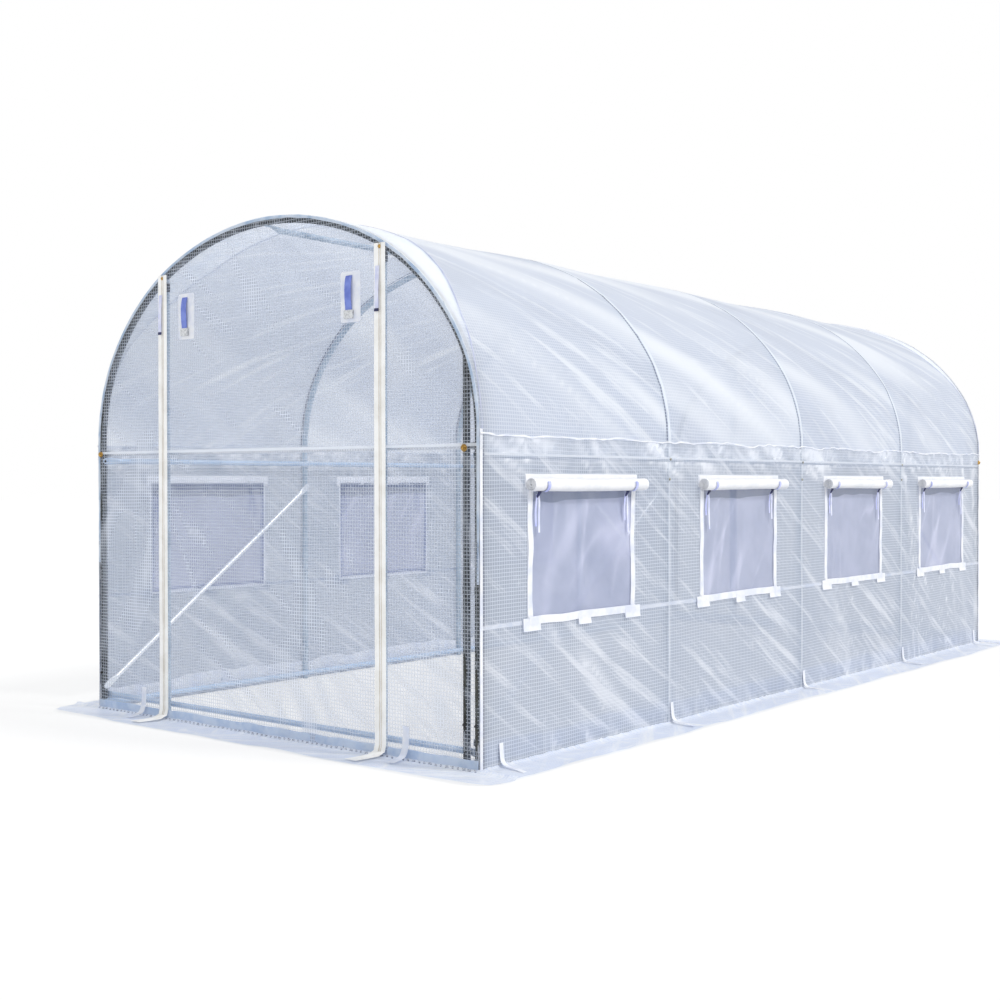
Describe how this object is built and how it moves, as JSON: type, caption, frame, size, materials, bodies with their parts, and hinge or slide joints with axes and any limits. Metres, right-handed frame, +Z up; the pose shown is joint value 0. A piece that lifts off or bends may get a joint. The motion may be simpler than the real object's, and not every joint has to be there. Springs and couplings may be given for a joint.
{
  "type": "polytunnel greenhouse",
  "caption": "Walk-in polytunnel greenhouse: round-arched galvanised tube frame under translucent film with zipped doors, screened roll-up windows and a ground skirt.",
  "frame": {"origin": "on the ground, under the middle of the whole part, skirt included", "axes": "+Z up, +Y along the tunnel towards its back gable, +X to the right as seen from the front door"},
  "size_m": [2.326, 4.801, 1.8835],
  "materials": {
    "galvanised_tube": "zinc-coated steel tube, satin",
    "clear_film": "translucent bluish-white film with a woven grid, slightly glossy",
    "white_film": "double or folded film and tape, white",
    "screen_mesh": "fine lavender-grey insect mesh",
    "zip_tape": "cream tape with a beige-grey coil",
    "strap": "woven blue strap with a grey buckle on a white patch",
    "clamp": "dark grey clamp"
  },
  "bodies": {
    "root": {"borders_left": "white_film", "borders_right": "white_film", "braces": "galvanised_tube", "crossbars": "galvanised_tube", "door_back": "clear_film", "door_front": "clear_film", "door_posts": "galvanised_tube", "door_ties": "strap", "edge_tapes": "white_film", "end_rails": "galvanised_tube", "gable_back": "clear_film", "gable_front_left": "clear_film", "gable_front_right": "clear_film", "gable_post": "galvanised_tube", "ground_rails": "galvanised_tube", "hoop_1": "galvanised_tube", "hoop_2": "galvanised_tube", "hoop_3": "galvanised_tube", "hoop_4": "galvanised_tube", "hoop_5": "galvanised_tube", "legs_left": "galvanised_tube", "legs_right": "galvanised_tube", "post_clamps": "clamp", "purlins_left": "galvanised_tube", "purlins_right": "galvanised_tube", "ridge_purlin": "galvanised_tube", "rolls_left": "white_film", "rolls_right": "white_film", "roof_cover": "clear_film", "screens_left": "screen_mesh", "screens_right": "screen_mesh", "side_wall_left": "clear_film", "side_wall_right": "clear_film", "skirt_back": "white_film", "skirt_front": "white_film", "skirt_left": "white_film", "skirt_right": "white_film", "skirt_straps": "white_film", "ties_left": "strap", "ties_right": "strap", "zips": "zip_tape"}
  },
  "joints": []
}
